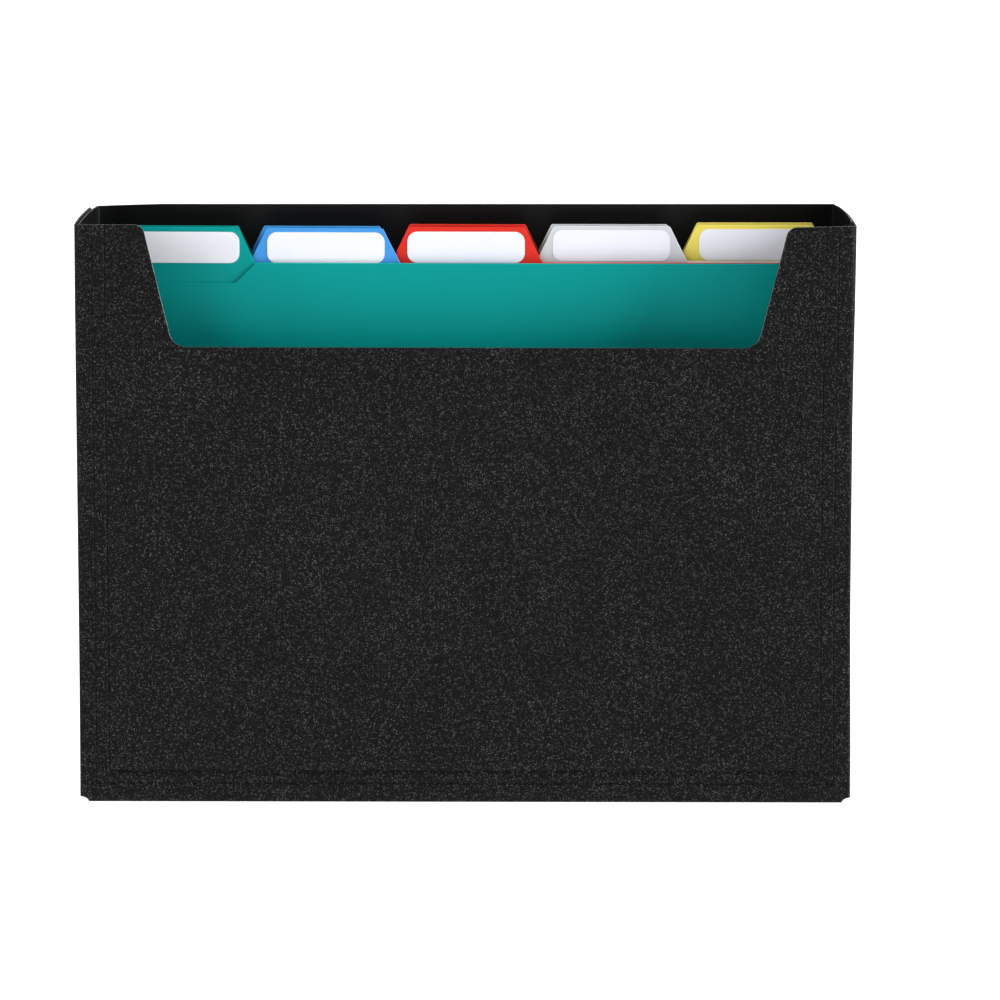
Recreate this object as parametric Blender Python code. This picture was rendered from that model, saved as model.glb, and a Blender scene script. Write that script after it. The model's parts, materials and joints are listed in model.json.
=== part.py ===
"""An open-topped file case of creased plastic sheet, holding ten tabbed folders with labels.

Metres, +Z up, front towards -Y, +X to the right. The case stands on z = 0 and is centred on the origin.
The case is one folded blank. It is built here as its flat panels, with a small gap at each crease.
Each folder is one folded sheet, built as a back leaf that keeps the fold, and a front leaf that hinges on it.
"""

import math

import bmesh
import bpy
from mathutils import Matrix, Vector

# Case
CASE_WIDTH = 0.3136
CASE_HEIGHT = 0.2366
CASE_DEPTH = 0.075
CASE_SHEET = 0.0008
BACK_WIDTH = 0.3042
CREASE_GAP = 0.0003

# Cut-out in the front panel, a trapezoid that is widest at the rim
WINDOW_DEPTH = 0.0503
WINDOW_TOP_WIDTH = 0.2588
WINDOW_BOTTOM_WIDTH = 0.235
WINDOW_TOP_RADIUS = 0.0045
WINDOW_BOTTOM_RADIUS = 0.007

# Two nested scored lines on the front panel (from its sides, from its bottom), and the relief where creases meet
SCORE_INSETS = ((0.0069, 0.0079), (0.0121, 0.0130))
SCORE_WIDTH = 0.0008
SCORE_DEPTH = 0.00025
RELIEF_WIDTH = 0.0034
RELIEF_HEIGHT = 0.0020
RELIEF_STEPS = 5

# Side flaps: the front panel's flap is outside and ends short of the back panel
OUTER_FLAP_LENGTH = 0.066
OUTER_FLAP_BOTTOM = 0.0022
INNER_FLAP_BOTTOM = 0.0014
FLAP_RADIUS = 0.004

# Folders, where each leaf is one sheet and the fold joins a folder's two leaves
LEAF_WIDTH = 0.294
LEAF_HEIGHT = 0.2155
LEAF_SHEET = 0.00045
LEAF_GAP = 0.00045
LEAF_RADIUS = 0.002
FOLD_GAP = 0.0003
FOLDER_PITCH = 0.0018
FLOOR_GAP = 0.0003
STACK_FRONT = 0.0268
STACK_X = 0.001

# Tabs, and the recess below each one in the front leaf
TAB_PITCH = 0.0585
TAB_TOP_WIDTH = 0.047
TAB_RISE = 0.0142
TAB_SLOPE = math.radians(26.5)
TAB_RADIUS = 0.001
TAB_BASE_RADIUS = 0.0015
RECESS_DEPTH = 0.0082
RECESS_BOTTOM_WIDTH = 0.0456
RECESS_RADIUS = 0.0008

# Labels
LABEL_WIDTH = 0.0476
LABEL_HEIGHT = 0.0127
LABEL_RADIUS = 0.004
LABEL_SHEET = 0.00015
LABEL_GAP = 0.00005
LABEL_BELOW_TAB_TOP = 0.0016

ARC_STEP = math.radians(15)
FOLD_STEPS = 6
WELD = 1e-6
CUTTER_MARGIN = 0.01

# One tab position for each colour, from the left
COLOURS = {
    "teal": (0.002, 0.28, 0.27),
    "blue": (0.06, 0.27, 0.62),
    "red": (0.60, 0.035, 0.02),
    "grey": (0.56, 0.57, 0.60),
    "yellow": (0.66, 0.55, 0.10),
}
CASE_BLACK = (0.012, 0.012, 0.013)
LABEL_WHITE = (0.86, 0.87, 0.88)

# From front to back, each folder as a hand folds, labels and loads it: how far it stands to the right and how
# far up, how far its front leaf ends below the usual height, and its label's place on the tab, right and up
PLACING = (
    (0.0001, 0.0005, 0.0, 0.0005, -0.0001),
    (0.0005, 0.0001, 0.0, 0.0004, 0.0001),
    (-0.0005, 0.0005, 0.0, -0.0003, -0.0001),
    (-0.0001, 0.0009, 0.0003, -0.0002, 0.0001),
    (-0.0004, 0.0012, 0.0006, 0.0011, 0.0),
    (0.0001, 0.0002, 0.0, 0.0002, 0.0),
    (-0.0009, 0.0001, 0.0, -0.0003, 0.0),
    (-0.0002, 0.0008, 0.0003, 0.0, 0.0001),
    (-0.0010, 0.0007, 0.0, 0.0003, -0.0002),
    (-0.0002, 0.0012, 0.0002, -0.0002, 0.0),
)

# An outline's x and y become the world's X and Z, or Y and Z
FACING_FRONT = Matrix.Rotation(math.radians(90), 4, "X")
FACING_SIDE = Matrix.Rotation(math.radians(90), 4, "Z") @ FACING_FRONT


def clear_scene():
    for obj in list(bpy.data.objects):
        bpy.data.objects.remove(obj, do_unlink=True)


def collection(name, hidden=False):
    made = bpy.data.collections.new(name)
    made.hide_render = hidden
    bpy.context.scene.collection.children.link(made)
    return made


def material(name, colour, roughness):
    made = bpy.data.materials.new(name)
    made.use_nodes = True
    shader = made.node_tree.nodes["Principled BSDF"]
    shader.inputs["Base Color"].default_value = (*colour, 1)
    shader.inputs["Roughness"].default_value = roughness
    shader.inputs["Metallic"].default_value = 0
    made.diffuse_color = (*colour, 1)
    return made


def fillet(before, corner, after, radius):
    """The points that round one corner of an outline. A radius too large for its sides is reduced."""
    corner = Vector(corner)
    into = corner - Vector(before)
    out = Vector(after) - corner
    turn = math.atan2(into.cross(out), into.dot(out))
    if radius == 0 or abs(turn) < 1e-6:
        return [tuple(corner)]
    tangent = min(radius * math.tan(abs(turn) / 2), 0.49 * into.length, 0.49 * out.length)
    start = corner - into.normalized() * tangent
    left = Vector((-into.y, into.x)).normalized()
    centre = start + left * tangent / math.tan(turn / 2)
    steps = max(1, round(abs(turn) / ARC_STEP))
    return [
        tuple(centre + Matrix.Rotation(turn * i / steps, 2) @ (start - centre))
        for i in range(steps + 1)
    ]


def rounded(corners):
    """A closed outline from corners given as (x, y, radius)."""
    points = []
    for i, (x, y, radius) in enumerate(corners):
        after = corners[(i + 1) % len(corners)]
        points += fillet(corners[i - 1][:2], (x, y), after[:2], radius)
    return points


def prism(name, outline, thickness, facing, place, into):
    """A flat outline given a thickness, centred on place, as a mesh object."""
    curve = bpy.data.curves.new(name, "CURVE")
    curve.dimensions = "2D"
    curve.fill_mode = "BOTH"
    curve.extrude = thickness / 2
    spline = curve.splines.new("POLY")
    spline.points.add(len(outline) - 1)
    for point, (x, y) in zip(spline.points, outline):
        point.co = (x, y, 0, 1)
    spline.use_cyclic_u = True
    guide = bpy.data.objects.new(name + "_outline", curve)
    into.objects.link(guide)
    graph = bpy.context.evaluated_depsgraph_get()
    mesh = bpy.data.meshes.new_from_object(guide.evaluated_get(graph))
    bpy.data.objects.remove(guide)
    close_caps(mesh)
    mesh.transform(facing)
    made = bpy.data.objects.new(name, mesh)
    made.location = place
    into.objects.link(made)
    return made


def close_caps(mesh):
    """Joins the caps of a filled curve to its sides."""
    work = bmesh.new()
    work.from_mesh(mesh)
    bmesh.ops.remove_doubles(work, verts=work.verts, dist=WELD)
    bmesh.ops.recalc_face_normals(work, faces=work.faces)
    work.to_mesh(mesh)
    work.free()


def cut(obj, cutter):
    cutter.display_type = "WIRE"
    cutter.hide_render = True
    modifier = obj.modifiers.new(cutter.name, "BOOLEAN")
    modifier.operation = "DIFFERENCE"
    modifier.solver = "EXACT"
    modifier.object = cutter


def give(obj, coat):
    obj.data.materials.clear()
    obj.data.materials.append(coat)


def relief(side):
    """The notch left at a bottom corner of a case panel, where a die cuts away the meeting creases."""
    turns = [math.radians(90) * i / RELIEF_STEPS for i in range(RELIEF_STEPS + 1)]
    return [(side * RELIEF_WIDTH * math.cos(a), RELIEF_HEIGHT * math.sin(a)) for a in turns]


def front_panel_outline():
    half = CASE_WIDTH / 2
    sill = CASE_HEIGHT - WINDOW_DEPTH
    left_notch = [(x - half, y, 0) for x, y in reversed(relief(1))]
    right_notch = [(x + half, y, 0) for x, y in relief(-1)]
    window = [
        (WINDOW_TOP_WIDTH / 2, CASE_HEIGHT, WINDOW_TOP_RADIUS),
        (WINDOW_BOTTOM_WIDTH / 2, sill, WINDOW_BOTTOM_RADIUS),
        (-WINDOW_BOTTOM_WIDTH / 2, sill, WINDOW_BOTTOM_RADIUS),
        (-WINDOW_TOP_WIDTH / 2, CASE_HEIGHT, WINDOW_TOP_RADIUS),
    ]
    rim = [(half, CASE_HEIGHT, 0), *window, (-half, CASE_HEIGHT, 0)]
    return rounded([*left_notch, *right_notch, *rim])


def score_outline(from_side, from_bottom):
    """A U-shaped line that runs down one side of the front panel, along the bottom and up the other side."""
    outer = CASE_WIDTH / 2 - from_side + SCORE_WIDTH / 2
    inner = outer - SCORE_WIDTH
    low = from_bottom - SCORE_WIDTH / 2
    top = CASE_HEIGHT + CUTTER_MARGIN
    down = [(-outer, top), (-outer, low), (outer, low), (outer, top)]
    back = [(inner, top), (inner, low + SCORE_WIDTH), (-inner, low + SCORE_WIDTH), (-inner, top)]
    return down + back


def build_case(into, cutters, coat):
    front_y = -CASE_DEPTH / 2 + CASE_SHEET / 2
    back_y = CASE_DEPTH / 2 - CASE_SHEET / 2

    front = prism("case_front_panel", front_panel_outline(), CASE_SHEET, FACING_FRONT, (0, front_y, 0), into)
    give(front, coat)
    for number, insets in enumerate(SCORE_INSETS, 1):
        place = (0, -CASE_DEPTH / 2, 0)
        line = prism(f"score_{number}", score_outline(*insets), 2 * SCORE_DEPTH, FACING_FRONT, place, cutters)
        cut(front, line)

    half = BACK_WIDTH / 2
    left_notch = [(x - half, y, 0) for x, y in reversed(relief(1))]
    right_notch = [(x + half, y, 0) for x, y in relief(-1)]
    rim = [(half, CASE_HEIGHT, 0), (-half, CASE_HEIGHT, 0)]
    outline = rounded([*left_notch, *right_notch, *rim])
    give(prism("case_back_panel", outline, CASE_SHEET, FACING_FRONT, (0, back_y, 0), into), coat)

    between = CASE_DEPTH / 2 - CASE_SHEET - CREASE_GAP
    floor_half = BACK_WIDTH / 2 - RELIEF_WIDTH
    floor = [(-floor_half, -between), (floor_half, -between), (floor_half, between), (-floor_half, between)]
    place = (0, 0, CASE_SHEET / 2)
    give(prism("case_bottom_panel", floor, CASE_SHEET, Matrix.Identity(4), place, into), coat)

    for name, side in (("left", -1), ("right", 1)):
        build_side(name, side, between, into, coat)


def build_side(name, side, between, into, coat):
    """One side's two flaps. The inner one slants a little, because the back panel is the narrower one."""
    outer_x = side * (CASE_WIDTH - CASE_SHEET) / 2
    outline = rounded(
        [
            (0, OUTER_FLAP_BOTTOM, 0),
            (OUTER_FLAP_LENGTH, OUTER_FLAP_BOTTOM, FLAP_RADIUS),
            (OUTER_FLAP_LENGTH, CASE_HEIGHT, FLAP_RADIUS),
            (0, CASE_HEIGHT, 0),
        ]
    )
    place = (outer_x, -between, 0)
    give(prism(f"case_{name}_outer_flap", outline, CASE_SHEET, FACING_SIDE, place, into), coat)

    length = 2 * between
    front_x = CASE_WIDTH / 2 - 1.5 * CASE_SHEET - CREASE_GAP
    back_x = (BACK_WIDTH - CASE_SHEET) / 2
    outline = rounded(
        [
            (0, INNER_FLAP_BOTTOM, FLAP_RADIUS),
            (length, INNER_FLAP_BOTTOM, 0),
            (length, CASE_HEIGHT, 0),
            (0, CASE_HEIGHT, FLAP_RADIUS),
        ]
    )
    slant = Matrix.Identity(4)
    slant[0][1] = side * (back_x - front_x) / length
    place = (side * front_x, -between, 0)
    facing = slant @ FACING_SIDE
    give(prism(f"case_{name}_inner_flap", outline, CASE_SHEET, facing, place, into), coat)


def tab_outline(tab_x):
    """Everything above a back leaf's top edge and its tab, to cut away."""
    side = LEAF_WIDTH / 2 + CUTTER_MARGIN
    top = LEAF_HEIGHT + TAB_RISE
    half_top = TAB_TOP_WIDTH / 2
    half_base = half_top + TAB_RISE * math.tan(TAB_SLOPE)
    return rounded(
        [
            (-side, LEAF_HEIGHT, 0),
            (tab_x - half_base, LEAF_HEIGHT, TAB_BASE_RADIUS),
            (tab_x - half_top, top, TAB_RADIUS),
            (tab_x + half_top, top, TAB_RADIUS),
            (tab_x + half_base, LEAF_HEIGHT, TAB_BASE_RADIUS),
            (side, LEAF_HEIGHT, 0),
            (side, top + CUTTER_MARGIN, 0),
            (-side, top + CUTTER_MARGIN, 0),
        ]
    )


def fold_profile():
    """A back leaf seen from its end: a J whose foot is the fold. Its x is the world's Y."""
    inner = LEAF_GAP / 2
    outer = inner + LEAF_SHEET
    height = LEAF_HEIGHT + TAB_RISE + LEAF_SHEET
    turns = [math.radians(180) * (1 - i / FOLD_STEPS) for i in range(FOLD_STEPS + 1)]
    below = [(outer * math.cos(a), outer - outer * math.sin(a)) for a in turns]
    inside = [(inner * math.cos(a), outer - inner * math.sin(a)) for a in reversed(turns)]
    return [*below, (outer, height), (inner, height), *inside]


def front_leaf_outline(tab_x, high):
    """A front leaf above its hinge axis. An end tab's recess runs out through the leaf's side."""
    half = LEAF_WIDTH / 2
    floor = high - RECESS_DEPTH
    left = tab_x - RECESS_BOTTOM_WIDTH / 2
    right = tab_x + RECESS_BOTTOM_WIDTH / 2
    start = [(-half, FOLD_GAP / 2, 0), (half, FOLD_GAP / 2, 0)]
    if right + 2 * RECESS_DEPTH > half:
        right_end = [(half, floor, LEAF_RADIUS)]
    else:
        right_end = [
            (half, high, LEAF_RADIUS),
            (right + RECESS_DEPTH, high, RECESS_RADIUS),
            (right, floor, RECESS_RADIUS),
        ]
    if left - 2 * RECESS_DEPTH < -half:
        left_end = [(-half, floor, LEAF_RADIUS)]
    else:
        left_end = [
            (left, floor, RECESS_RADIUS),
            (left - RECESS_DEPTH, high, RECESS_RADIUS),
            (-half, high, LEAF_RADIUS),
        ]
    return rounded([*start, *right_end, *left_end])


def build_folder(name, tab_x, place, drop, label_place, into, cutters, coat, paper):
    """One folder, parented to an empty that lifts. The front leaf's origin is on its hinge axis."""
    bend = LEAF_GAP / 2 + LEAF_SHEET
    leaf_y = (LEAF_GAP + LEAF_SHEET) / 2
    hinge_z = bend + FOLD_GAP / 2

    lift = bpy.data.objects.new(f"{name}_lift", None)
    lift.location = place
    into.objects.link(lift)

    back = prism(f"{name}_back_leaf", fold_profile(), LEAF_WIDTH, FACING_SIDE, (0, 0, 0), into)
    above_tab = prism(f"{name}_tab_cut", tab_outline(tab_x), 4 * bend, FACING_FRONT, (0, 0, 0), cutters)
    cut(back, above_tab)
    give(back, coat)

    outline = front_leaf_outline(tab_x, LEAF_HEIGHT - drop - hinge_z)
    leaf = prism(f"{name}_front_leaf", outline, LEAF_SHEET, FACING_FRONT, (0, -leaf_y, hinge_z), into)
    give(leaf, coat)

    half_width = LABEL_WIDTH / 2
    corners = [(-half_width, 0), (half_width, 0), (half_width, LABEL_HEIGHT), (-half_width, LABEL_HEIGHT)]
    outline = rounded([(x, y, LABEL_RADIUS) for x, y in corners])
    label_y = LEAF_GAP / 2 - LABEL_GAP - LABEL_SHEET / 2
    label_z = LEAF_HEIGHT + TAB_RISE - LABEL_BELOW_TAB_TOP - LABEL_HEIGHT
    at = (tab_x + label_place[0], label_y, label_z + label_place[1])
    label = prism(f"{name}_label", outline, LABEL_SHEET, FACING_FRONT, at, into)
    give(label, paper)

    for piece in (back, above_tab, leaf, label):
        piece.parent = lift


def main():
    clear_scene()
    parts = collection("tabbed_folder_file_case")
    cutters = collection("cutters", hidden=True)
    build_case(parts, cutters, material("case_black_plastic", CASE_BLACK, 0.45))
    paper = material("label_paper", LABEL_WHITE, 0.7)
    coats = {name: material(f"folder_{name}_plastic", colour, 0.4) for name, colour in COLOURS.items()}

    for index, (aside, raised, drop, *label_place) in enumerate(PLACING):
        position = index % len(COLOURS)
        colour = list(COLOURS)[position]
        tab_x = (position - (len(COLOURS) - 1) / 2) * TAB_PITCH
        place = (
            STACK_X + aside,
            -CASE_DEPTH / 2 + STACK_FRONT + (index + 0.5) * FOLDER_PITCH,
            CASE_SHEET + FLOOR_GAP + raised,
        )
        name = f"folder_{index + 1:02d}_{colour}"
        build_folder(name, tab_x, place, drop, label_place, parts, cutters, coats[colour], paper)


main()
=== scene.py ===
"""The looks of the tabbed folder file case: one creased plastic blank that holds ten labelled folders.

Metres, +Z up, front towards -Y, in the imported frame. Every piece here is a sheet. It is cut as a flat
outline, divided by a grid of lines, and then given its folded form and its thickness.
"""

import json
import math

import bmesh
import bpy
from mathutils import Matrix, Vector, noise


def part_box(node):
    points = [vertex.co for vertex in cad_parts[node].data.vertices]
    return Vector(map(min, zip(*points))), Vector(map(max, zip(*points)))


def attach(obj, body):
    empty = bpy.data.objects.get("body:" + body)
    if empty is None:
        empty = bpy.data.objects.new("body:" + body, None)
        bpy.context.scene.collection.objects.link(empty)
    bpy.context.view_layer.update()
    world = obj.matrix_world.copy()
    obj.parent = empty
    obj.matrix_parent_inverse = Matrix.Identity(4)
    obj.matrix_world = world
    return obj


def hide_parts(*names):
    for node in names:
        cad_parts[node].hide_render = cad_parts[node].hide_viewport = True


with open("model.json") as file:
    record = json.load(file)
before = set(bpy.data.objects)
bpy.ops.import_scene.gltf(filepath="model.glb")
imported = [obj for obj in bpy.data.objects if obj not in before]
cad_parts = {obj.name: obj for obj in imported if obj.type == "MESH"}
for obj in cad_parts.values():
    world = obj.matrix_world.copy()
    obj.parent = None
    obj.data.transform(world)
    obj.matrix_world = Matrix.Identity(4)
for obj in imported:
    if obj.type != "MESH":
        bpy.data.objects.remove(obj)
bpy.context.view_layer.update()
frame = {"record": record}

FRONT_LOW, FRONT_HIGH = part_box("case_front_panel")
BACK_LOW, BACK_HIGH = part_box("case_back_panel")

# The case, measured on the frame
HALF_FRONT = FRONT_HIGH.x
HALF_BACK = BACK_HIGH.x
HEIGHT = FRONT_HIGH.z
DEPTH = BACK_HIGH.y - FRONT_LOW.y
SHEET = FRONT_HIGH.y - FRONT_LOW.y

# The case's cut-out, widest at the rim
WINDOW_DEPTH = 0.0503
HALF_WINDOW_TOP = 0.1294
HALF_WINDOW_BOTTOM = 0.1175
WINDOW_TOP_RADIUS = 0.0045
WINDOW_BOTTOM_RADIUS = 0.007

# Its scored lines, in from the sides and up from the bottom, and its relief notches
SCORE_INSETS = ((0.0069, 0.0079), (0.0121, 0.0130))
SCORE_HALF_WIDTH = 0.0005
SCORE_DEPTH = 0.0005
RELIEF_WIDTH = 0.0034
RELIEF_HEIGHT = 0.0022

# Its side flaps. The sides curve in towards the back, by this much at the back and with this power
OUTER_FLAP = {-1: 0.066, 1: 0.0735}
INNER_FLAP = {-1: 0.071, 1: 0.064}
FLAP_RADIUS = 0.004
SIDE_PULL = {-1: 0.0033, 1: 0.0034}
SIDE_POWER = {-1: 2, 1: 3}
FLAP_GAP = 0.0003
FLAP_EASE = 0.012

# Its creases. The front side creases open up towards the rim, the right one the most
CREASE = 0.0010
LEFT_CREASE_TOP = 0.0014
RIGHT_CREASE_TOP = 0.0025
ROLL_START = 0.05

# The case is a little narrower below its rim than at it. On the right it is wide again at the bottom
WAIST = 0.0008
LEFT_WAIST_FROM = 0.02
RIGHT_WAIST_FULL = 0.09
RIGHT_WAIST_FADES = 0.15

# What use does to the front panel: the strips outside the scores lean back, and the two ears beside the
# window stand lower than the back rim, the right one lowest next to the window
STRIP_LEAN = math.tan(math.radians(2.4))
RIM_DROP = 0.0009
EAR_DROOP = {-1: 0.0, 1: 0.0005}
EAR_HEIGHT = 1.3 * WINDOW_DEPTH

# What it does to the back panel: the rim falls to the left, most of all at the corner, which curls forward
RIM_DROOP = 0.0007
RIM_DROOP_REACH = 0.030
RIM_DROOP_FROM = 0.6
RIM_TILT = 0.0007
BACK_CURL = 0.0016
BACK_CURL_REACH = 0.009
BACK_CURL_FROM = 0.3

# Both panels swell inwards between their creases. A wave's seed picks one swell
WAVE = 0.0007
WAVE_LENGTH = 0.13
WAVE_CONTRAST = 1.4
FRONT_SEED = 0.3
BACK_SEED = 7.7
FRONT_WAVE_FROM = 0.06
BACK_WAVE_FROM = 0.08
WAVE_SIDE_FADE = 0.6

# Folders
COLOURS = ("teal", "blue", "red", "grey", "yellow")
FOLDER_COUNT = 10
TAB_PITCH = 0.0585
TAB_TOP_WIDTH = 0.047
TAB_RISE = 0.0142
TAB_SLOPE = math.radians(26.5)
TAB_RADIUS = 0.001
TAB_BASE_RADIUS = 0.0015
LEAF_RADIUS = 0.002
RECESS_DEPTH = 0.0082
RECESS_BOTTOM_WIDTH = 0.0456
RECESS_RADIUS = 0.0008
LABEL_RADIUS = 0.004
LEAF_BOW = 0.0020

# How finely sheets are divided, and how their cut edges are eased
GRID = 0.010
SILL_MARGIN = 0.003
CASE_EASE = 0.00014
LEAF_EASE = 0.00009
LABEL_EASE = 0.00003
ARC_STEP = math.radians(11)
WELD = 1e-6

# Camera, as the photograph has it
AIM = Vector((0, -0.0375, 0.12448))
ELEVATION = math.radians(8.98)
DISTANCE = 2.5
PAN = math.radians(0.327)
ROLL = math.radians(0.177)
LENS = 223.28
SENSOR = 36.0

# Studio: a floor that glows white, a little light all round, and suns as wide as softboxes.
# Each sun has its azimuth from the front, to the right, its elevation and its strength
FLOOR_GLOW = 0.92
WORLD_LIGHT = 0.05
SUN_WIDTH = math.radians(30)
SUNS = {
    "right": (75, 10, 5.5),
    "left": (-75, 10, 1.5),
    "left_front": (-45, 10, 0.9),
    "left_high": (-45, 35, 0.3),
    "behind": (165, 35, 0.8),
}


def smooth(value, low, high):
    """0 at low, 1 at high, and smooth between."""
    t = min(1.0, max(0.0, (value - low) / (high - low)))
    return t * t * (3 - 2 * t)


# ---------------------------------------------------------------- outlines


def fillet(before, corner, after, radius):
    """The points that round one corner of an outline. A radius too large for its sides is reduced."""
    corner = Vector(corner)
    into = corner - Vector(before)
    out = Vector(after) - corner
    turn = math.atan2(into.cross(out), into.dot(out))
    if radius == 0 or abs(turn) < WELD:
        return [tuple(corner)]
    tangent = min(radius * math.tan(abs(turn) / 2), 0.49 * into.length, 0.49 * out.length)
    start = corner - into.normalized() * tangent
    left = Vector((-into.y, into.x)).normalized()
    centre = start + left * tangent / math.tan(turn / 2)
    steps = max(1, round(abs(turn) / ARC_STEP))
    turned = (Matrix.Rotation(turn * i / steps, 2) @ (start - centre) for i in range(steps + 1))
    return [tuple(centre + arm) for arm in turned]


def rounded(corners):
    """A closed outline from corners given as (x, y, radius)."""
    points = []
    for i, (x, y, radius) in enumerate(corners):
        after = corners[(i + 1) % len(corners)]
        points += fillet(corners[i - 1][:2], (x, y), after[:2], radius)
    return points


def notch(x, y, first, last):
    """A quarter of an ellipse round a corner where creases meet, from one angle to another."""
    steps = 8
    angles = [math.radians(first + (last - first) * i / steps) for i in range(steps + 1)]
    return [(x + RELIEF_WIDTH * math.cos(a), y + RELIEF_HEIGHT * math.sin(a), 0) for a in angles]


def case_outline():
    """The whole blank, flat: the front panel above y 0, the bottom panel below it, then the back panel."""
    rim = -DEPTH - HEIGHT

    def side(sign):
        inner_end = HALF_BACK + INNER_FLAP[sign]
        outer_end = HALF_FRONT + OUTER_FLAP[sign]
        corners = [
            (inner_end, rim, FLAP_RADIUS),
            (inner_end, -DEPTH - RELIEF_HEIGHT, FLAP_RADIUS),
            *notch(HALF_BACK, -DEPTH, -90, -180),
            *notch(HALF_FRONT, 0, 180, 90),
            (outer_end, RELIEF_HEIGHT, FLAP_RADIUS),
            (outer_end, HEIGHT, FLAP_RADIUS),
            (HALF_WINDOW_TOP, HEIGHT, WINDOW_TOP_RADIUS),
            (HALF_WINDOW_BOTTOM, HEIGHT - WINDOW_DEPTH, WINDOW_BOTTOM_RADIUS),
        ]
        return [(sign * x, y, radius) for x, y, radius in corners]

    return rounded([*side(1), *reversed(side(-1))])


def tab_sheet_outline(tab_x, width, height, fold):
    """A back leaf with its tab, and below y 0 the length that goes round the fold."""
    half = width / 2
    shoulder = height - TAB_RISE
    half_top = TAB_TOP_WIDTH / 2
    half_base = half_top + TAB_RISE * math.tan(TAB_SLOPE)
    corners = [(-half, -fold, 0), (half, -fold, 0)]
    if tab_x + half_base < half - LEAF_RADIUS:
        corners += [(half, shoulder, LEAF_RADIUS), (tab_x + half_base, shoulder, TAB_BASE_RADIUS)]
    else:
        corners += [(half, height - (half - tab_x - half_top) / math.tan(TAB_SLOPE), 0)]
    corners += [(tab_x + half_top, height, TAB_RADIUS), (tab_x - half_top, height, TAB_RADIUS)]
    if tab_x - half_base > -half + LEAF_RADIUS:
        corners += [(tab_x - half_base, shoulder, TAB_BASE_RADIUS), (-half, shoulder, LEAF_RADIUS)]
    else:
        corners += [(-half, height - (half + tab_x - half_top) / math.tan(TAB_SLOPE), 0)]
    return rounded(corners)


def front_sheet_outline(tab_x, width, height):
    """A front leaf above its fold. An end tab's recess runs out through the leaf's side."""
    half = width / 2
    floor = height - RECESS_DEPTH
    left = tab_x - RECESS_BOTTOM_WIDTH / 2
    right = tab_x + RECESS_BOTTOM_WIDTH / 2
    corners = [(-half, 0, 0), (half, 0, 0)]
    if right + 2 * RECESS_DEPTH > half:
        corners += [(half, floor, LEAF_RADIUS)]
    else:
        corners += [
            (half, height, LEAF_RADIUS),
            (right + RECESS_DEPTH, height, RECESS_RADIUS),
            (right, floor, RECESS_RADIUS),
        ]
    if left - 2 * RECESS_DEPTH < -half:
        corners += [(-half, floor, LEAF_RADIUS)]
    else:
        corners += [
            (left, floor, RECESS_RADIUS),
            (left - RECESS_DEPTH, height, RECESS_RADIUS),
            (-half, height, LEAF_RADIUS),
        ]
    return rounded(corners)


# ---------------------------------------------------------------- sheets


def divide(outline, x_lines, y_lines):
    """The flat outline as a mesh, cut by lines of constant x and of constant y."""
    flat = bmesh.new()
    flat.faces.new([flat.verts.new((x, y, 0)) for x, y in outline])
    for axis, lines in ((Vector((1, 0, 0)), x_lines), (Vector((0, 1, 0)), y_lines)):
        for line in lines:
            geometry = flat.verts[:] + flat.edges[:] + flat.faces[:]
            bmesh.ops.bisect_plane(flat, geom=geometry, dist=WELD, plane_co=axis * line, plane_no=axis)
    return flat


def edge_profile(thickness, ease):
    """How far in from the outline, and how deep, each ring round a sheet's cut edge lies."""
    turn = 1 - math.sqrt(0.5)
    upper = [(ease, 0.0), (turn * ease, turn * ease), (0.0, ease)]
    return upper + [(inset, thickness - depth) for inset, depth in reversed(upper)]


def sheet(name, outline, x_lines, y_lines, thickness, ease, shape, coats):
    """A closed sheet. shape(x, y, depth) places a point of the flat drawing, depth below its outer face.

    coats are the materials of the outer face, the inner face and the cut edge.
    """
    flat = divide(outline, x_lines, y_lines)
    rings_at = edge_profile(thickness, ease)
    following, inward = {}, {}
    for edge in flat.edges:
        if edge.is_boundary:
            loop = edge.link_loops[0]
            start, end = loop.vert, loop.link_loop_next.vert
            along = (end.co - start.co).normalized()
            following[start] = end
            for vert in (start, end):
                inward.setdefault(vert, []).append(Vector((-along.y, along.x, 0)))

    work = bmesh.new()
    outer, inner, rings = {}, {}, {}
    for vert in flat.verts:
        if vert in inward:
            one, other = inward[vert]
            mitre = (one + other) / (1 + one.dot(other))
            ring = []
            for inset, depth in rings_at:
                at = vert.co + mitre * inset
                ring.append(work.verts.new(shape(at.x, at.y, depth)))
            rings[vert], outer[vert], inner[vert] = ring, ring[0], ring[-1]
        else:
            outer[vert] = work.verts.new(shape(vert.co.x, vert.co.y, 0.0))
            inner[vert] = work.verts.new(shape(vert.co.x, vert.co.y, thickness))
    for face in flat.faces:
        work.faces.new([outer[v] for v in face.verts]).material_index = 0
        work.faces.new([inner[v] for v in reversed(face.verts)]).material_index = 1
    for start, end in following.items():
        near, far = rings[start], rings[end]
        for i in range(len(near) - 1):
            work.faces.new([near[i], near[i + 1], far[i + 1], far[i]]).material_index = 2
    bmesh.ops.recalc_face_normals(work, faces=work.faces)
    for face in work.faces:
        face.smooth = True
    for start, end in following.items():
        for surface in (outer, inner):
            work.edges.get((surface[start], surface[end])).smooth = False
    mesh = bpy.data.meshes.new(name)
    work.to_mesh(mesh)
    work.free()
    flat.free()
    for coat in coats:
        mesh.materials.append(coat)
    piece = bpy.data.objects.new(name, mesh)
    bpy.context.scene.collection.objects.link(piece)
    return piece


def spaced(low, high, step):
    """Evenly spaced lines strictly between low and high, at most step apart."""
    count = math.ceil((high - low) / step)
    return [low + (high - low) * i / count for i in range(1, count)]


# ---------------------------------------------------------------- the case's form


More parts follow.
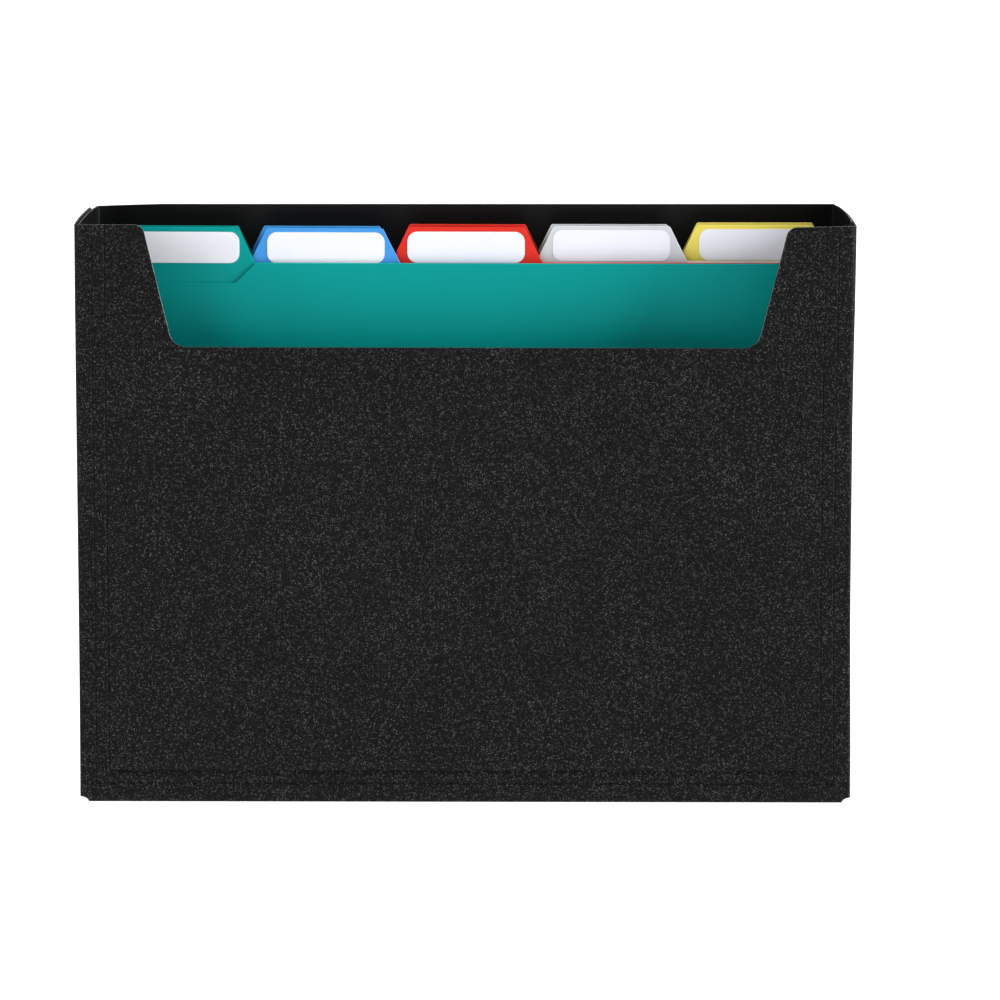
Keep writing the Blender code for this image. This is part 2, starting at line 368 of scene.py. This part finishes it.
def end_view(v):
    """Where the blank at height v of the drawing lies seen from the case's end, and its outward direction."""
    if v > CREASE:
        return (0, v), (-1, 0)
    if v > -CREASE:
        a = math.radians(90) * (CREASE - v) / (2 * CREASE)
        return (CREASE - CREASE * math.cos(a), CREASE - CREASE * math.sin(a)), (-math.cos(a), -math.sin(a))
    if v > CREASE - DEPTH:
        return (-v, 0), (0, -1)
    if v > -CREASE - DEPTH:
        a = math.radians(90) * (CREASE - v - DEPTH) / (2 * CREASE)
        place = (DEPTH - CREASE + CREASE * math.sin(a), CREASE - CREASE * math.cos(a))
        return place, (math.sin(a), -math.cos(a))
    return (DEPTH, -DEPTH - v), (1, 0)


def top_view(across, half, radius):
    """The same for a side crease, seen from above: across and in from the panel, and the outward direction."""
    if across < half - radius:
        return (across, 0), (0, -1)
    if across < half + radius:
        a = math.radians(90) * (across - half + radius) / (2 * radius)
        place = (half - radius + radius * math.sin(a), radius - radius * math.cos(a))
        return place, (math.sin(a), -math.cos(a))
    return (half, across - half), (1, 0)


def side_radius(side, v):
    """The radius of a front side crease, which grows towards the rim."""
    rise = smooth(v, ROLL_START, HEIGHT)
    top = RIGHT_CREASE_TOP if side > 0 else LEFT_CREASE_TOP
    return CREASE + (top - CREASE) * rise


def outside_score(across, v, insets):
    """How far a point of the front panel lies outside the U-shaped line at those insets."""
    return max(across - HALF_FRONT + insets[0], insets[1] - v)


def groove(across, v):
    """How deep a scored line is pressed into the front panel here."""
    deepest = 0.0
    for insets in SCORE_INSETS:
        off = abs(outside_score(across, v, insets)) / SCORE_HALF_WIDTH
        if off < 1:
            deepest = max(deepest, SCORE_DEPTH * 0.5 * (1 + math.cos(math.pi * off)))
    return deepest


def wave(x, z, seed):
    """A slow, uneven swell from 0 to 1."""
    level = WAVE_CONTRAST * noise.noise(Vector((x, seed, z)) / WAVE_LENGTH)
    return 0.5 + 0.5 * max(-1.0, min(1.0, level))


def side_curve(side, behind):
    """How far a side wall has come in at this distance behind the front panel."""
    return SIDE_PULL[side] * (behind / DEPTH) ** SIDE_POWER[side]


def inner_flap_offset(side, ahead):
    """How far a back panel's flap stands out from that panel's edge, to lie inside the outer flap."""
    wall = HALF_FRONT - side_curve(side, DEPTH - ahead) - SHEET - FLAP_GAP
    return (wall - HALF_BACK) * smooth(ahead, 0.0, FLAP_EASE)


def waist(side, z):
    """How much nearer the middle a side stands at height z than at the rim."""
    if side < 0:
        return WAIST * (1 - smooth(z, LEFT_WAIST_FROM, HEIGHT))
    return WAIST * smooth(z, 0.0, RIGHT_WAIST_FULL) * (1 - smooth(z, RIGHT_WAIST_FADES, HEIGHT))


def front_use(u, v, half, inside_x):
    """How far use has moved a point of the front panel or its flaps, back and down."""
    side = -1 if u < 0 else 1
    across = abs(u)
    strip = min(SCORE_INSETS[1][1], max(0.0, outside_score(across, v, SCORE_INSETS[1])))
    lean = strip * STRIP_LEAN * (1 - smooth(-v, 0, DEPTH))
    swell = WAVE * wave(u, v, FRONT_SEED) * inside_x * smooth(v, 0.0, FRONT_WAVE_FROM)
    near_rim = smooth(v, HEIGHT - EAR_HEIGHT, HEIGHT)
    near_window = 1 - smooth(across, HALF_WINDOW_TOP, half)
    beside = smooth(across, HALF_WINDOW_BOTTOM * 0.98, HALF_WINDOW_BOTTOM)
    drop = (RIM_DROP * near_rim + EAR_DROOP[side] * (near_rim * near_window)) * beside
    return lean + swell, drop


def back_use(u, height, half, inside_x):
    """How far use has moved a point of the back panel or its flaps, forward and down."""
    side = -1 if u < 0 else 1
    across = abs(u)
    forward = WAVE * wave(u, height, BACK_SEED) * inside_x * smooth(height, 0.0, BACK_WAVE_FROM)
    near_rim = smooth(height, RIM_DROOP_FROM * HEIGHT, HEIGHT)
    drop = RIM_TILT * 0.5 * (1 - side * min(1.0, across / half)) * near_rim
    if side < 0:
        curl = min(1.0, max(0.0, 1 - (half - across) / BACK_CURL_REACH)) ** 2
        forward += BACK_CURL * curl * smooth(height, BACK_CURL_FROM * HEIGHT, HEIGHT)
        drop += RIM_DROOP * smooth(across, half - RIM_DROOP_REACH, half) * near_rim
    return forward, drop


def case_shape(u, v, depth):
    """Where a point of the flat blank lies on the folded case, depth below its outer face."""
    side = -1 if u < 0 else 1
    across = abs(u)
    on_front = v > -DEPTH / 2
    half = HALF_FRONT if on_front else HALF_BACK
    radius = side_radius(side, v) if on_front else CREASE
    (back, up), (out_back, out_up) = end_view(v)
    (aside, turned_in), (out_aside, out_in) = top_view(across, half, radius)
    facing = 1 if on_front else -1
    if across > half - radius:
        outward = Vector((side * out_aside, facing * out_in, 0))
    else:
        outward = Vector((0, out_back, out_up))
    inner = depth
    if on_front and v > CREASE and across < half:
        inner += groove(across, v) * (1 - depth / SHEET)
    if on_front:
        aside -= side_curve(side, turned_in)
    elif across > half:
        aside += inner_flap_offset(side, turned_in)
    aside *= 1 - waist(side, up) / HALF_FRONT
    point = Vector((side * aside, back + facing * turned_in, up)) - outward * inner

    inside_x = 1 - smooth(across, WAVE_SIDE_FADE * half, half - 2 * radius)
    if on_front:
        moved, drop = front_use(u, v, half, inside_x)
    else:
        moved, drop = back_use(u, -DEPTH - v, half, inside_x)
    return point + Vector((0, facing * moved + FRONT_LOW.y, -drop))


def case_lines():
    """The lines that divide the blank: a plain grid, closer at creases and across the scores.

    No line comes close to the window's lower edge, where it would leave a sliver of a face.
    """
    reach = HALF_FRONT + max(OUTER_FLAP.values())
    inner_lines = (-0.6, -0.2, 0.2, 0.6)
    crease_lines = (-1, *inner_lines, 1)
    across = spaced(0, reach, GRID)
    across += [HALF_BACK + CREASE * t for t in crease_lines]
    across += [HALF_BACK - BACK_CURL_REACH * t / 6 for t in range(1, 7)]
    across += [HALF_FRONT + RIGHT_CREASE_TOP * t / 8 for t in range(-9, 10)]
    across += [HALF_FRONT + CREASE * t for t in inner_lines]
    down = spaced(-DEPTH - HEIGHT, HEIGHT, GRID)
    down += [crease + CREASE * t for crease in (0, -DEPTH) for t in crease_lines]
    for from_side, from_bottom in SCORE_INSETS:
        for t in (-1, -0.5, 0, 0.5, 1):
            across.append(HALF_FRONT - from_side + t * SCORE_HALF_WIDTH)
            down.append(from_bottom + t * SCORE_HALF_WIDTH)
    sill = HEIGHT - WINDOW_DEPTH
    down = [y for y in down if abs(y - sill) > SILL_MARGIN]
    return [-x for x in across] + [0] + across, down


# ---------------------------------------------------------------- materials


def new_material(name, roughness, specular):
    """A material, its node tree and its shader. The numbers go straight on the shader's sockets."""
    made = bpy.data.materials.new(name)
    made.use_nodes = True
    shader = made.node_tree.nodes["Principled BSDF"]
    shader.inputs["Roughness"].default_value = roughness
    shader.inputs["Specular IOR Level"].default_value = specular
    return made, made.node_tree, shader


def add(tree, kind, **values):
    """A node, with its properties and its inputs set by name."""
    node = tree.nodes.new(kind)
    for name, value in values.items():
        if hasattr(node, name):
            setattr(node, name, value)
        else:
            node.inputs[name.replace("_", " ")].default_value = value
    return node


def place_of(tree, stretch=(1, 1, 1)):
    """The object's own coordinates, in metres."""
    coordinates = add(tree, "ShaderNodeTexCoord")
    mapping = add(tree, "ShaderNodeMapping", Scale=stretch)
    tree.links.new(coordinates.outputs["Object"], mapping.inputs["Vector"])
    return mapping.outputs["Vector"]


def grain(tree, place, scale, detail=2.0, rough=0.5):
    """Soft noise around 0.5."""
    node = add(tree, "ShaderNodeTexNoise", Scale=scale, Detail=detail, Roughness=rough)
    tree.links.new(place, node.inputs["Vector"])
    return node.outputs["Fac"]


def cells(tree, place, scale):
    """The distance from the nearest of many scattered points, 0 at a point."""
    node = add(tree, "ShaderNodeTexVoronoi", Scale=scale)
    tree.links.new(place, node.inputs["Vector"])
    return node.outputs["Distance"]


def remap(tree, value, low, high, to_low, to_high):
    """A value stretched from one range to another, and clamped to it."""
    node = tree.nodes.new("ShaderNodeMapRange")
    for name, number in zip(("From Min", "From Max", "To Min", "To Max"), (low, high, to_low, to_high)):
        node.inputs[name].default_value = number
    tree.links.new(value, node.inputs["Value"])
    return node.outputs["Result"]


def combine(tree, operation, one, other):
    node = add(tree, "ShaderNodeMath", operation=operation)
    for socket, value in zip(node.inputs, (one, other)):
        if isinstance(value, (int, float)):
            socket.default_value = value
        else:
            tree.links.new(value, socket)
    return node.outputs["Value"]


def tint(tree, shader, value, dark, light):
    """The base colour, from dark where value is 0 to light where it is 1."""
    node = add(tree, "ShaderNodeMix", data_type="RGBA")
    colours = [s for s in node.inputs if s.type == "RGBA"]
    colours[0].default_value = (*dark, 1)
    colours[1].default_value = (*light, 1)
    tree.links.new(value, node.inputs["Factor"])
    out = next(s for s in node.outputs if s.type == "RGBA")
    tree.links.new(out, shader.inputs["Base Color"])


def bump(tree, shader, height, distance, strength):
    node = add(tree, "ShaderNodeBump", Strength=strength, Distance=distance)
    tree.links.new(height, node.inputs["Height"])
    tree.links.new(node.outputs["Normal"], shader.inputs["Normal"])


def sand_plastic():
    """The case's outer face: black polypropylene with a sand grain. Scattered grain tops get a lighter base
    colour: painted glints, standing in for the light the grains catch.
    """
    made, tree, shader = new_material("case_sand_grain", 0.42, 0.05)
    place = place_of(tree)
    grains = cells(tree, place, 1500)
    uneven = grain(tree, place, 850, 2.0, 0.6)
    fine = grain(tree, place, 2300, 2.0, 0.6)
    broad = grain(tree, place, 26, 2.0, 0.5)
    tops = remap(tree, grains, 0.1, 0.5, 1.0, 0.0)
    # Painted glints: the grain tops' lighter base colour paints the light they catch from the lamps
    painted_glints = combine(tree, "MULTIPLY", tops, remap(tree, uneven, 0.40, 0.66, 0.0, 1.0))
    painted_glints = combine(tree, "ADD", painted_glints, remap(tree, fine, 0.35, 0.65, -0.04, 0.05))
    painted_glints = combine(tree, "MULTIPLY", painted_glints, remap(tree, broad, 0.3, 0.7, 0.8, 1.2))
    tint(tree, shader, painted_glints, (0.0038, 0.0038, 0.0040), (0.090, 0.090, 0.091))
    bump(tree, shader, combine(tree, "ADD", tops, combine(tree, "MULTIPLY", fine, 0.8)), 0.0001, 0.6)
    tree.links.new(remap(tree, fine, 0.3, 0.7, 0.34, 0.56), shader.inputs["Roughness"])
    return made


def smooth_plastic():
    """The case's inner face: the same sheet's smooth side, with faint drag lines."""
    made, tree, shader = new_material("case_smooth_face", 0.3, 0.16)
    place = place_of(tree)
    drag = grain(tree, place_of(tree, (1, 1, 0.06)), 900, 2.0, 0.5)
    broad = grain(tree, place, 14, 2.0, 0.5)
    tint(tree, shader, broad, (0.0035, 0.0035, 0.0038), (0.0065, 0.0065, 0.007))
    tree.links.new(remap(tree, drag, 0.3, 0.7, 0.28, 0.34), shader.inputs["Roughness"])
    bump(tree, shader, combine(tree, "ADD", broad, combine(tree, "MULTIPLY", drag, 0.006)), 0.0006, 0.5)
    return made


def cut_plastic():
    """The case's cut edges, a little polished by handling. Their grey base colour is a painted highlight,
    standing in for the light the thin edges catch from above.
    """
    made, tree, shader = new_material("case_cut_edge", 0.35, 0.5)
    wear_and_painted_highlight = grain(tree, place_of(tree), 320, 3.0, 0.6)
    # Painted highlight: the edges' grey base colour paints the light they catch from above, varied at random
    tint(tree, shader, remap(tree, wear_and_painted_highlight, 0.3, 0.7, 0.0, 1.0), (0.020, 0.020, 0.021), (0.060, 0.060, 0.062))
    tree.links.new(remap(tree, wear_and_painted_highlight, 0.3, 0.7, 0.28, 0.45), shader.inputs["Roughness"])
    return made


def folder_plastic(name, colour, edge=False):
    """Dyed polypropylene, fine matt, a little cloudy. A cut edge is painted paler: a painted highlight,
    standing in for the light it catches from above.
    """
    made, tree, shader = new_material(name, 0.42, 0.05)
    place = place_of(tree)
    cloud = grain(tree, place, 45, 3.0, 0.55)
    frost = grain(tree, place, 3200, 2.0, 0.6)
    # Painted highlight: an edge coat's colour is doubled to paint the light its cut edge catches
    painted_highlight_lift = 2.0 if edge else 1.0
    dark = [c * 0.97 * painted_highlight_lift for c in colour]
    light = [min(1.0, c * 1.02 * painted_highlight_lift) for c in colour]
    tint(tree, shader, remap(tree, cloud, 0.3, 0.7, 0.0, 1.0), dark, light)
    tree.links.new(remap(tree, frost, 0.25, 0.75, 0.36, 0.5), shader.inputs["Roughness"])
    bump(tree, shader, frost, 0.00002, 0.5)
    return made


def label_paper():
    """Smooth white label stock, faintly bluish, with a short paper fibre."""
    made, tree, shader = new_material("label_paper_stock", 0.55, 0.25)
    fibre = grain(tree, place_of(tree, (1, 1, 2.6)), 1400, 4.0, 0.65)
    shade = grain(tree, place_of(tree), 60, 2.0, 0.5)
    mixed = combine(tree, "ADD", combine(tree, "MULTIPLY", fibre, 0.5), combine(tree, "MULTIPLY", shade, 0.5))
    tint(tree, shader, remap(tree, mixed, 0.35, 0.65, 0.0, 1.0), (0.70, 0.715, 0.77), (0.74, 0.755, 0.81))
    tree.links.new(remap(tree, fibre, 0.3, 0.7, 0.48, 0.62), shader.inputs["Roughness"])
    bump(tree, shader, fibre, 0.00001, 0.4)
    return made


# Linear colours of the folders
DYES = {
    "teal": (0.0020, 0.265, 0.250),
    "blue": (0.055, 0.270, 0.650),
    "red": (0.620, 0.030, 0.020),
    "grey": (0.530, 0.550, 0.575),
    "yellow": (0.720, 0.610, 0.110),
}


# ---------------------------------------------------------------- pieces


def build_case():
    x_lines, y_lines = case_lines()
    coats = (sand_plastic(), smooth_plastic(), cut_plastic())
    case = sheet("file_case", case_outline(), x_lines, y_lines, SHEET, CASE_EASE, case_shape, coats)
    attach(case, "case")
    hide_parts(*frame["record"]["behaviour"]["bodies"]["case"])


def bow(x, half):
    """All the folders curve together: their ends stand a little behind their middle."""
    return LEAF_BOW * (x / half) ** 2


def build_folder(name, tab_x, coats, paper):
    back_low, back_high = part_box(f"{name}_back_leaf")
    front_low, front_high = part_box(f"{name}_front_leaf")
    label_low, label_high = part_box(f"{name}_label")
    middle = (front_low.x + front_high.x) / 2
    width = front_high.x - front_low.x
    half = width / 2
    leaf = front_high.y - front_low.y
    centre_y = (back_low.y + back_high.y) / 2
    turn = (back_high.y - back_low.y) / 2
    columns = spaced(-half, half, GRID)

    def back_shape(x, y, depth):
        if y > 0:
            at, out = Vector((x, turn, turn + y)), Vector((0, 1, 0))
        else:
            a = -y / turn
            at = Vector((x, turn * math.cos(a), turn - turn * math.sin(a)))
            out = Vector((0, math.cos(a), -math.sin(a)))
        return at - out * depth + Vector((middle, centre_y + bow(x, half), back_low.z))

    def front_shape(x, y, depth):
        return Vector((middle + x, front_low.y + depth + bow(x, half), front_low.z + y))

    def label_shape(x, y, depth):
        from_middle = label_centre + x - middle
        return Vector((label_centre + x, label_low.y + depth + bow(from_middle, half), label_low.z + y))

    fold = math.pi * turn
    height = back_high.z - back_low.z - turn
    rows = spaced(0, height, 3 * GRID) + [0] + [-fold * i / 8 for i in range(1, 8)]
    outline = tab_sheet_outline(tab_x, width, height, fold)
    back = sheet(f"{name}_back_sheet", outline, columns, rows, leaf, LEAF_EASE, back_shape, coats)
    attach(back, name)
    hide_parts(f"{name}_back_leaf")

    height = front_high.z - front_low.z
    outline = front_sheet_outline(tab_x, width, height)
    rows = spaced(0, height, 3 * GRID)
    front = sheet(f"{name}_front_sheet", outline, columns, rows, leaf, LEAF_EASE, front_shape, coats)
    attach(front, f"{name}_front")
    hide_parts(f"{name}_front_leaf")

    label_centre = (label_low.x + label_high.x) / 2
    label_half = (label_high.x - label_low.x) / 2
    tall = label_high.z - label_low.z
    corners = [(-label_half, 0), (label_half, 0), (label_half, tall), (-label_half, tall)]
    outline = rounded([(x, y, LABEL_RADIUS) for x, y in corners])
    columns = spaced(-label_half, label_half, GRID / 2)
    thick = label_high.y - label_low.y
    label = sheet(f"{name}_paper", outline, columns, [], thick, LABEL_EASE, label_shape, (paper,) * 3)
    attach(label, name)
    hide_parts(f"{name}_label")


def build_folders():
    paper = label_paper()
    coats = {}
    for colour, dye in DYES.items():
        face = folder_plastic(f"folder_{colour}_face", dye)
        # The edge coat is painted paler: a painted highlight on the folders' cut edges
        coats[colour] = (face, face, folder_plastic(f"folder_{colour}_edge", dye, edge=True))
    for index in range(FOLDER_COUNT):
        position = index % len(COLOURS)
        colour = COLOURS[position]
        tab_x = (position - (len(COLOURS) - 1) / 2) * TAB_PITCH
        name = f"folder_{index + 1:02d}_{colour}"
        build_folder(name, tab_x, coats[colour], paper)


# ---------------------------------------------------------------- studio


def build_floor():
    reach, level = 60.0, -0.0002
    mesh = bpy.data.meshes.new("studio_floor")
    corners = [(-reach, -reach, level), (reach, -reach, level), (reach, reach, level), (-reach, reach, level)]
    mesh.from_pydata(corners, [], [(0, 1, 2, 3)])
    floor = bpy.data.objects.new("studio_floor", mesh)
    bpy.context.scene.collection.objects.link(floor)
    made, _, shader = new_material("studio_white", 0.9, 0.0)
    shader.inputs["Base Color"].default_value = (0.9, 0.9, 0.9, 1)
    shader.inputs["Emission Color"].default_value = (1, 1, 1, 1)
    shader.inputs["Emission Strength"].default_value = FLOOR_GLOW
    mesh.materials.append(made)


def build_lights():
    world = bpy.data.worlds.new("studio")
    world.use_nodes = True
    background = world.node_tree.nodes["Background"]
    background.inputs["Color"].default_value = (1, 1, 1, 1)
    background.inputs["Strength"].default_value = WORLD_LIGHT
    bpy.context.scene.world = world
    for name, (azimuth, elevation, strength) in SUNS.items():
        light = bpy.data.lights.new(f"sun_{name}", "SUN")
        light.angle = SUN_WIDTH
        light.energy = strength
        lamp = bpy.data.objects.new(light.name, light)
        a, e = math.radians(azimuth), math.radians(elevation)
        source = Vector((math.sin(a) * math.cos(e), -math.cos(a) * math.cos(e), math.sin(e)))
        lamp.rotation_euler = source.to_track_quat("Z", "Y").to_euler()
        bpy.context.scene.collection.objects.link(lamp)


def build_camera():
    data = bpy.data.cameras.new("photo_camera")
    data.sensor_width = SENSOR
    data.lens = LENS
    data.clip_start, data.clip_end = 0.1, 200.0
    camera = bpy.data.objects.new("photo_camera", data)
    turned = Matrix.Rotation(-PAN, 4, "Z") @ Matrix.Rotation(math.radians(90) - ELEVATION, 4, "X")
    turned = turned @ Matrix.Rotation(ROLL, 4, "Z")
    back = Vector((0, -math.cos(ELEVATION), math.sin(ELEVATION)))
    camera.matrix_world = Matrix.Translation(AIM + DISTANCE * back) @ turned
    bpy.context.scene.collection.objects.link(camera)
    bpy.context.scene.camera = camera


build_case()
build_folders()
build_floor()
build_lights()
build_camera()
bpy.context.scene.view_settings.view_transform = "Standard"
